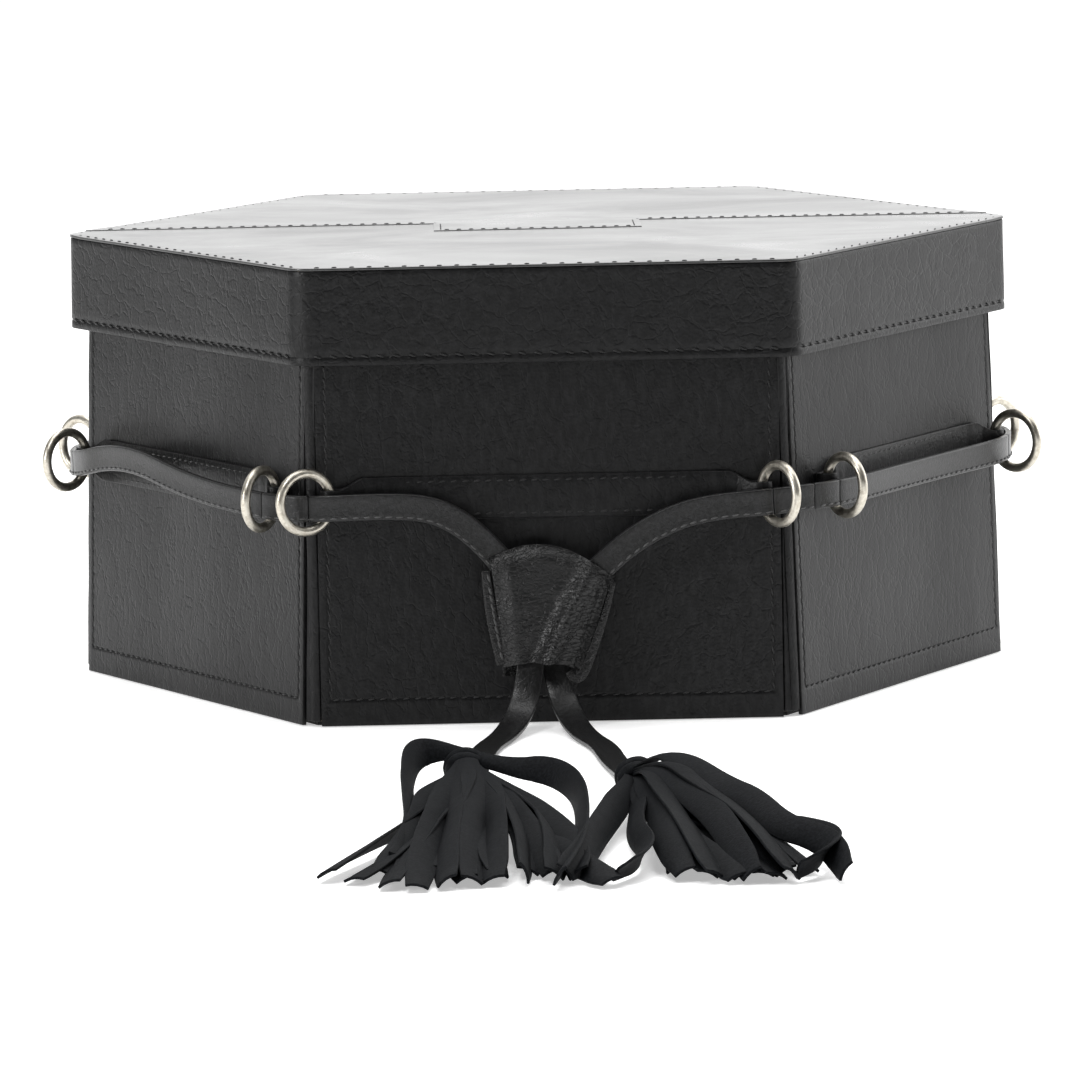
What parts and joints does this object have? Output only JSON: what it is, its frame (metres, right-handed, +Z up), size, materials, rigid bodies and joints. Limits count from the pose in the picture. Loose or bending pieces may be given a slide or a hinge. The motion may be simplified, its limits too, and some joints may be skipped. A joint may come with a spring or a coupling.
{
  "type": "hat box",
  "caption": "Six-sided leather-covered box with a lift-off lid, fold-out wall panels, and a drawstring run through rings to a keeper and tassels.",
  "frame": {"origin": "middle of the box's foot, on the surface it stands on", "axes": "+Z up, the front panel with the keeper faces -Y, +X to the viewer's right"},
  "size_m": [0.4331, 0.7511, 0.192],
  "materials": {
    "box_leather": "satin pebbled grain",
    "lid_leather": "satin pebbled grain",
    "gusset_leather": "matt",
    "strap_leather": "satin",
    "keeper_leather": "soft satin, creased",
    "tassel_leather": "matt suede side",
    "ring_metal": "satin, warm nickel",
    "board": "matt",
    "lining": "matt cloth"
  },
  "bodies": {
    "base": {"base_leather": "box_leather", "base_board": "board", "base_lining": "lining", "gusset_right_front": "gusset_leather", "gusset_right": "gusset_leather", "gusset_right_back": "gusset_leather", "gusset_left_back": "gusset_leather", "gusset_left": "gusset_leather", "gusset_left_front": "gusset_leather", "drawstring_belt": "strap_leather", "tail_left": "strap_leather", "tail_right": "strap_leather", "knot_left": "tassel_leather", "knot_right": "tassel_leather", "tassel_left": "tassel_leather", "tassel_right": "tassel_leather"},
    "lid": {"lid_front_leather": "lid_leather", "lid_back_leather": "lid_leather", "lid_board": "board", "lid_lining": "lining", "lid_rim_leather": "lid_leather", "lid_rim_board": "board"},
    "panel_front": {"front_panel_leather": "box_leather", "front_panel_board": "board", "front_panel_lining": "lining", "front_band": "box_leather"},
    "panel_right_front": {"right_front_panel_leather": "box_leather", "right_front_panel_board": "board", "right_front_panel_lining": "lining", "right_front_band": "box_leather"},
    "panel_right_back": {"right_back_panel_leather": "box_leather", "right_back_panel_board": "board", "right_back_panel_lining": "lining", "right_back_band": "box_leather"},
    "panel_back": {"back_panel_leather": "box_leather", "back_panel_board": "board", "back_panel_lining": "lining", "back_band": "box_leather"},
    "panel_left_back": {"left_back_panel_leather": "box_leather", "left_back_panel_board": "board", "left_back_panel_lining": "lining", "left_back_band": "box_leather"},
    "panel_left_front": {"left_front_panel_leather": "box_leather", "left_front_panel_board": "board", "left_front_panel_lining": "lining", "left_front_band": "box_leather"},
    "front_ring_left_body": {"front_ring_left": "ring_metal"},
    "front_ring_right_body": {"front_ring_right": "ring_metal"},
    "right_front_ring_left_body": {"right_front_ring_left": "ring_metal"},
    "right_front_ring_right_body": {"right_front_ring_right": "ring_metal"},
    "right_back_ring_left_body": {"right_back_ring_left": "ring_metal"},
    "right_back_ring_right_body": {"right_back_ring_right": "ring_metal"},
    "back_ring_left_body": {"back_ring_left": "ring_metal"},
    "back_ring_right_body": {"back_ring_right": "ring_metal"},
    "left_back_ring_left_body": {"left_back_ring_left": "ring_metal"},
    "left_back_ring_right_body": {"left_back_ring_right": "ring_metal"},
    "left_front_ring_left_body": {"left_front_ring_left": "ring_metal"},
    "left_front_ring_right_body": {"left_front_ring_right": "ring_metal"},
    "keeper_body": {"keeper": "keeper_leather"}
  },
  "joints": [
    {"name": "lid_lift", "type": "slide", "parent": "base", "child": "lid", "axis": [0, 0, 1], "range_m": [0, 0.36]},
    {"name": "panel_front_fold", "type": "hinge", "parent": "base", "child": "panel_front", "pos_m": [0, -0.1755, 0.0004], "axis": [1, 0, 0], "range_deg": [0, 12], "deforming": ["gusset_right_front", "tail_left", "tail_right", "drawstring_belt"]},
    {"name": "panel_right_front_fold", "type": "hinge", "parent": "base", "child": "panel_right_front", "pos_m": [0.15199, -0.08775, 0.0004], "axis": [0.5, 0.866, 0], "range_deg": [0, 12], "deforming": ["gusset_right"]},
    {"name": "panel_right_back_fold", "type": "hinge", "parent": "base", "child": "panel_right_back", "pos_m": [0.15199, 0.08775, 0.0004], "axis": [-0.5, 0.866, 0], "range_deg": [0, 12], "deforming": ["gusset_right_back"]},
    {"name": "panel_back_fold", "type": "hinge", "parent": "base", "child": "panel_back", "pos_m": [0, 0.1755, 0.0004], "axis": [-1, 0, 0], "range_deg": [0, 12], "deforming": ["gusset_left_back"]},
    {"name": "panel_left_back_fold", "type": "hinge", "parent": "base", "child": "panel_left_back", "pos_m": [-0.15199, 0.08775, 0.0004], "axis": [-0.5, -0.866, 0], "range_deg": [0, 12], "deforming": ["gusset_left"]},
    {"name": "panel_left_front_fold", "type": "hinge", "parent": "base", "child": "panel_left_front", "pos_m": [-0.15199, -0.08775, 0.0004], "axis": [0.5, -0.866, 0], "range_deg": [0, 12], "deforming": ["gusset_left_front"]},
    {"name": "front_ring_left_swing", "type": "hinge", "parent": "panel_front", "child": "front_ring_left_body", "pos_m": [-0.09, -0.17736, 0.09501], "axis": [0, 0.0314, 0.9995], "range_deg": [-8, 8]},
    {"name": "front_ring_right_swing", "type": "hinge", "parent": "panel_front", "child": "front_ring_right_body", "pos_m": [0.088, -0.17736, 0.09501], "axis": [0, 0.0314, 0.9995], "range_deg": [-8, 8]},
    {"name": "right_front_ring_left_swing", "type": "hinge", "parent": "panel_right_front", "child": "right_front_ring_left_body", "pos_m": [0.1166, -0.15277, 0.09501], "axis": [-0.0272, 0.0157, 0.9995], "range_deg": [-8, 8]},
    {"name": "right_front_ring_right_swing", "type": "hinge", "parent": "panel_right_front", "child": "right_front_ring_right_body", "pos_m": [0.1971, -0.01333, 0.09501], "axis": [-0.0272, 0.0157, 0.9995], "range_deg": [-8, 8]},
    {"name": "right_back_ring_left_swing", "type": "hinge", "parent": "panel_right_back", "child": "right_back_ring_left_body", "pos_m": [0.1936, 0.0194, 0.09501], "axis": [-0.0272, -0.0157, 0.9995], "range_deg": [-8, 8]},
    {"name": "right_back_ring_right_swing", "type": "hinge", "parent": "panel_right_back", "child": "right_back_ring_right_body", "pos_m": [0.1106, 0.16316, 0.09501], "axis": [-0.0272, -0.0157, 0.9995], "range_deg": [-8, 8]},
    {"name": "back_ring_left_swing", "type": "hinge", "parent": "panel_back", "child": "back_ring_left_body", "pos_m": [0.086, 0.17736, 0.09501], "axis": [0, -0.0314, 0.9995], "range_deg": [-8, 8]},
    {"name": "back_ring_right_swing", "type": "hinge", "parent": "panel_back", "child": "back_ring_right_body", "pos_m": [-0.086, 0.17736, 0.09501], "axis": [0, -0.0314, 0.9995], "range_deg": [-8, 8]},
    {"name": "left_back_ring_left_swing", "type": "hinge", "parent": "panel_left_back", "child": "left_back_ring_left_body", "pos_m": [-0.1106, 0.16316, 0.09501], "axis": [0.0272, -0.0157, 0.9995], "range_deg": [-8, 8]},
    {"name": "left_back_ring_right_swing", "type": "hinge", "parent": "panel_left_back", "child": "left_back_ring_right_body", "pos_m": [-0.1936, 0.0194, 0.09501], "axis": [0.0272, -0.0157, 0.9995], "range_deg": [-8, 8]},
    {"name": "left_front_ring_left_swing", "type": "hinge", "parent": "panel_left_front", "child": "left_front_ring_left_body", "pos_m": [-0.1981, -0.0116, 0.09501], "axis": [0.0272, 0.0157, 0.9995], "range_deg": [-8, 8]},
    {"name": "left_front_ring_right_swing", "type": "hinge", "parent": "panel_left_front", "child": "left_front_ring_right_body", "pos_m": [-0.1126, -0.15969, 0.09501], "axis": [0.0272, 0.0157, 0.9995], "range_deg": [-8, 8]},
    {"name": "keeper_slide", "type": "slide", "parent": "panel_front", "child": "keeper_body", "axis": [0, 0.0314, 0.9995], "range_m": [-0.012, 0.025]}
  ],
  "couplings": [
    {"joint": "panel_front_fold", "follows": "lid_lift", "rad_per_m": 0.58178},
    {"joint": "panel_right_front_fold", "follows": "lid_lift", "rad_per_m": 0.58178},
    {"joint": "panel_right_back_fold", "follows": "lid_lift", "rad_per_m": 0.58178},
    {"joint": "panel_back_fold", "follows": "lid_lift", "rad_per_m": 0.58178},
    {"joint": "panel_left_back_fold", "follows": "lid_lift", "rad_per_m": 0.58178},
    {"joint": "panel_left_front_fold", "follows": "lid_lift", "rad_per_m": 0.58178}
  ]
}
